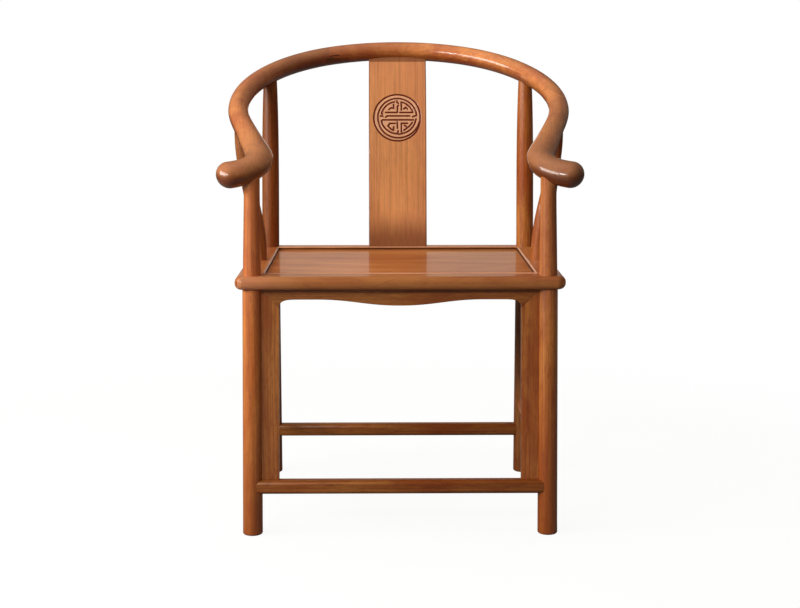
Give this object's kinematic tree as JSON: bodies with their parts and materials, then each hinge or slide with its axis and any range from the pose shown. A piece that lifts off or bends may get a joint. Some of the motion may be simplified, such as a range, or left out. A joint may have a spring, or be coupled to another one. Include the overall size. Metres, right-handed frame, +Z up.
{
  "type": "horseshoe back armchair",
  "caption": "Armchair with one curved rail sweeping from the back into both arms, a bent carved splat, a framed panel seat, round legs and low stretchers, for one seated person.",
  "frame": {"origin": "on the floor, under the middle of the overall box", "axes": "+Z up, the sitter faces -Y, +X to the right as seen from the front; the chair is the same left and right of X = 0"},
  "size_m": [0.6426, 0.6036, 0.875],
  "materials": {
    "frame_wood": "honey-brown hardwood under clear glossy lacquer",
    "panel_wood": "honey-brown board under clear glossy lacquer",
    "splat_wood": "straight-grained board under clear satin lacquer",
    "peg_wood": "darker end-cut wedge under clear lacquer"
  },
  "bodies": {
    "root": {"arm_left": "frame_wood", "arm_right": "frame_wood", "back_splat": "splat_wood", "crest_centre": "frame_wood", "crest_shoulder_left": "frame_wood", "crest_shoulder_right": "frame_wood", "front_apron": "frame_wood", "front_apron_strip_left": "frame_wood", "front_apron_strip_right": "frame_wood", "front_leg_left": "frame_wood", "front_leg_right": "frame_wood", "front_stretcher": "frame_wood", "rear_apron": "frame_wood", "rear_leg_left": "frame_wood", "rear_leg_right": "frame_wood", "rear_stretcher": "frame_wood", "scarf_pegs": "peg_wood", "seat_batten_left": "panel_wood", "seat_batten_right": "panel_wood", "seat_panel": "panel_wood", "seat_rail_front": "frame_wood", "seat_rail_left": "frame_wood", "seat_rail_rear": "frame_wood", "seat_rail_right": "frame_wood", "side_apron_left": "frame_wood", "side_apron_right": "frame_wood", "side_post_left": "frame_wood", "side_post_right": "frame_wood", "side_stretcher_left": "frame_wood", "side_stretcher_right": "frame_wood"}
  },
  "joints": []
}
